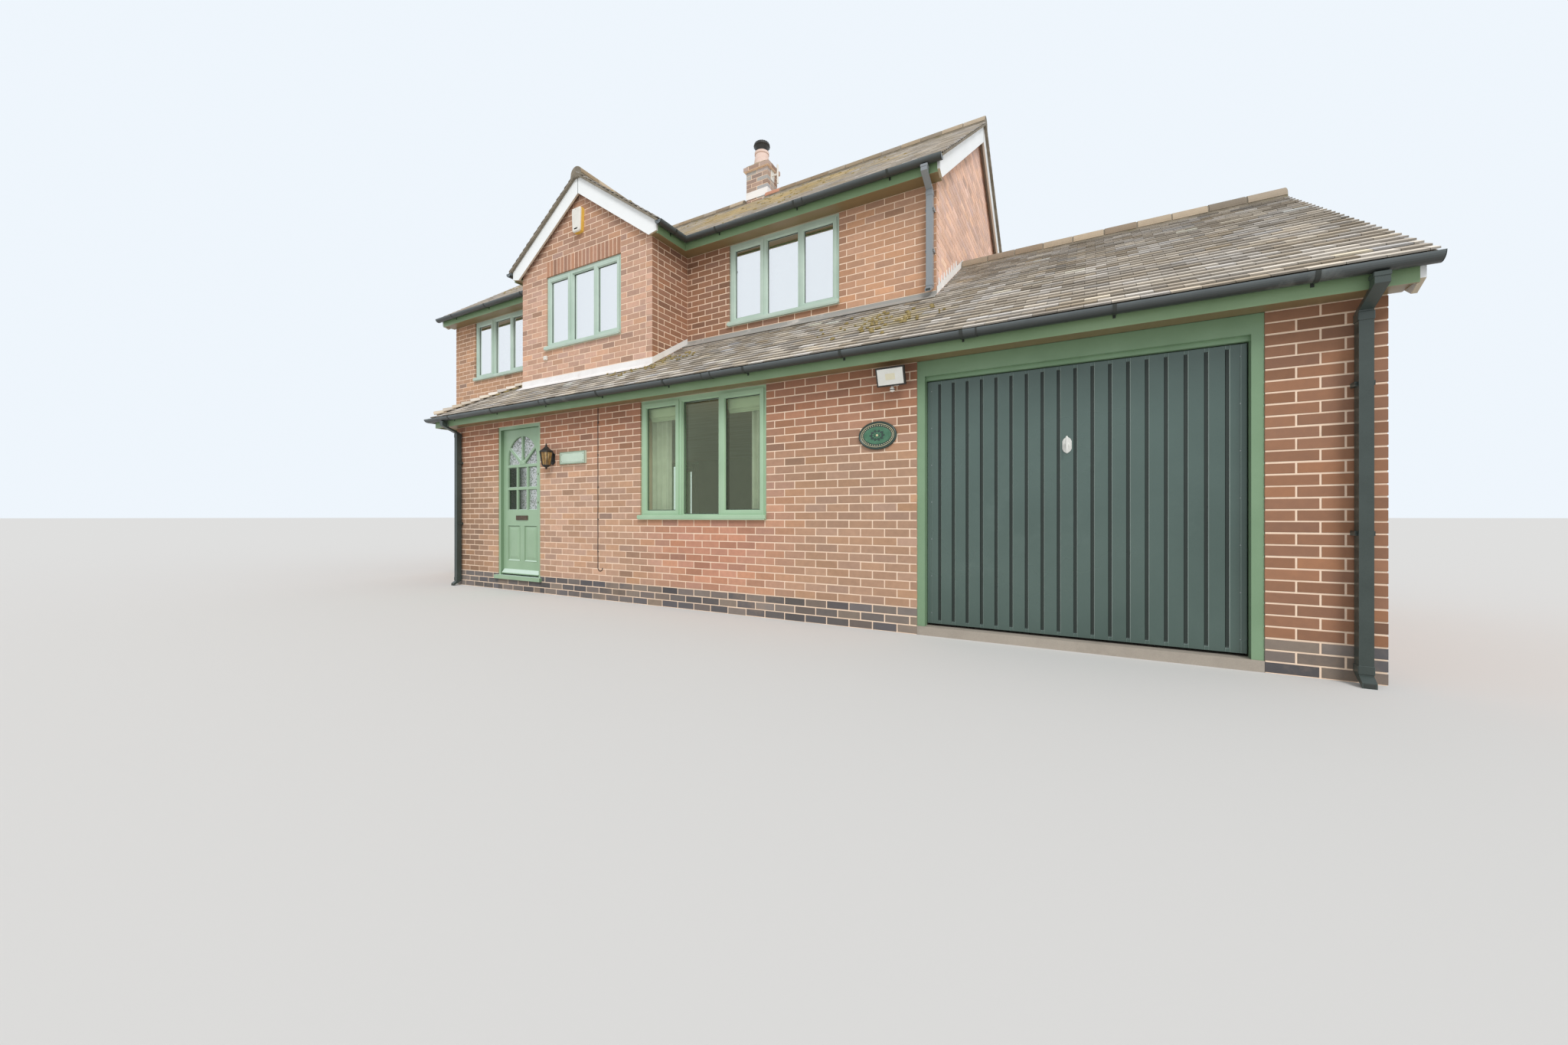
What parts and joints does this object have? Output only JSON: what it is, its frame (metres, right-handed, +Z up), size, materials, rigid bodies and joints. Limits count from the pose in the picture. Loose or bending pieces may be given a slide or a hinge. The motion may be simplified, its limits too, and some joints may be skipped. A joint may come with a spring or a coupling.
{
  "type": "detached house",
  "caption": "Detached two-storey brick house with a gabled bay, a tiled lean-to front and an attached garage; its front door and its up-and-over garage door open.",
  "frame": {"origin": "foot of the walls, halfway along the ground-floor front and under the main ridge, on the underside of the ground floor", "axes": "+X along the front to the right seen from outside, +Y from the front to the back, +Z up"},
  "size_m": [12.03, 6.474, 7.7387],
  "materials": {
    "brick": "wire-cut facing brick in beige mortar, blue bricks at the foot",
    "roof_tile": "weathered plain tile with moss",
    "concrete": "float-finished concrete",
    "floor_boards": "boards",
    "lead": "pale weathered lead",
    "white_timber": "white gloss paint",
    "green_timber": "mid green gloss paint",
    "sage_timber": "sage green paint",
    "gutter_plastic": "satin grey plastic",
    "clear_glass": "clear sealed unit",
    "obscure_glass": "patterned obscure glass",
    "door_steel": "dark green satin paint",
    "zinc_steel": "zinc plated",
    "black_metal": "black satin paint",
    "white_plastic": "gloss",
    "alarm_plastic": "gloss",
    "clay": "buff clay",
    "plaque_metal": "dark green enamel",
    "cable_sheath": "matt black"
  },
  "bodies": {
    "house": {"ground_floor": "concrete", "garage_floor": "concrete", "first_floor": "floor_boards", "front_wall_left_pier": "brick", "front_wall_over_door": "brick", "front_wall_middle": "brick", "front_block_side_wall": "brick", "garage_front_pier": "brick", "garage_lintel": "concrete", "garage_party_wall": "brick", "garage_side_wall": "brick", "garage_rear_wall": "brick", "main_left_gable_wall": "brick", "main_right_gable_wall": "brick", "main_rear_wall": "brick", "main_front_wall_left": "brick", "main_front_wall_right": "brick", "bay_front_wall": "brick", "bay_side_walls": "brick", "main_roof_front": "roof_tile", "main_roof_rear": "roof_tile", "bay_roof_left": "roof_tile", "bay_roof_right": "roof_tile", "lean_to_roof": "roof_tile", "garage_roof_rear": "roof_tile", "ridge_tiles": "roof_tile", "lead_flashing": "lead", "bargeboards": "white_timber", "fascias_and_soffits": "green_timber", "gutters": "gutter_plastic", "downpipes": "gutter_plastic", "chimney_stack": "brick", "chimney_pot": "clay", "chimney_cowl": "black_metal", "aerial_bracket": "zinc_steel", "ground_window": "sage_timber", "bay_window": "sage_timber", "upper_left_window": "sage_timber", "upper_right_window": "sage_timber", "rear_windows": "sage_timber", "window_glass": "clear_glass", "door_frame": "sage_timber", "garage_timber_frame": "green_timber", "garage_steel_frame": "door_steel", "wall_lantern": "black_metal", "name_plate": "sage_timber", "oval_plaque": "plaque_metal", "floodlight": "white_plastic", "wall_boxes": "alarm_plastic", "wall_cable": "cable_sheath"},
    "door_leaf": {"front_door": "sage_timber", "front_door_glass": "obscure_glass", "front_door_fittings": "black_metal"},
    "lifting_arms": {"garage_door_arms": "zinc_steel"},
    "garage_panel": {"garage_door": "door_steel", "garage_door_handle": "white_plastic", "garage_door_pivots": "zinc_steel"}
  },
  "joints": [
    {"name": "front_door_hinge", "type": "hinge", "parent": "house", "child": "door_leaf", "pos_m": [-3.8235, -3.3785, 0], "axis": [0, 0, 1], "range_deg": [0, 90]},
    {"name": "arm_swing", "type": "hinge", "parent": "house", "child": "lifting_arms", "pos_m": [3.18, -3.3695, 2.157], "axis": [1, 0, 0], "range_deg": [0, 87]},
    {"name": "panel_pivot", "type": "hinge", "parent": "lifting_arms", "child": "garage_panel", "pos_m": [3.18, -3.3695, 1.46967], "axis": [1, 0, 0], "range_deg": [-174, 0]}
  ],
  "couplings": [
    {"joint": "arm_swing", "follows": "panel_pivot", "ratio": -0.5}
  ]
}
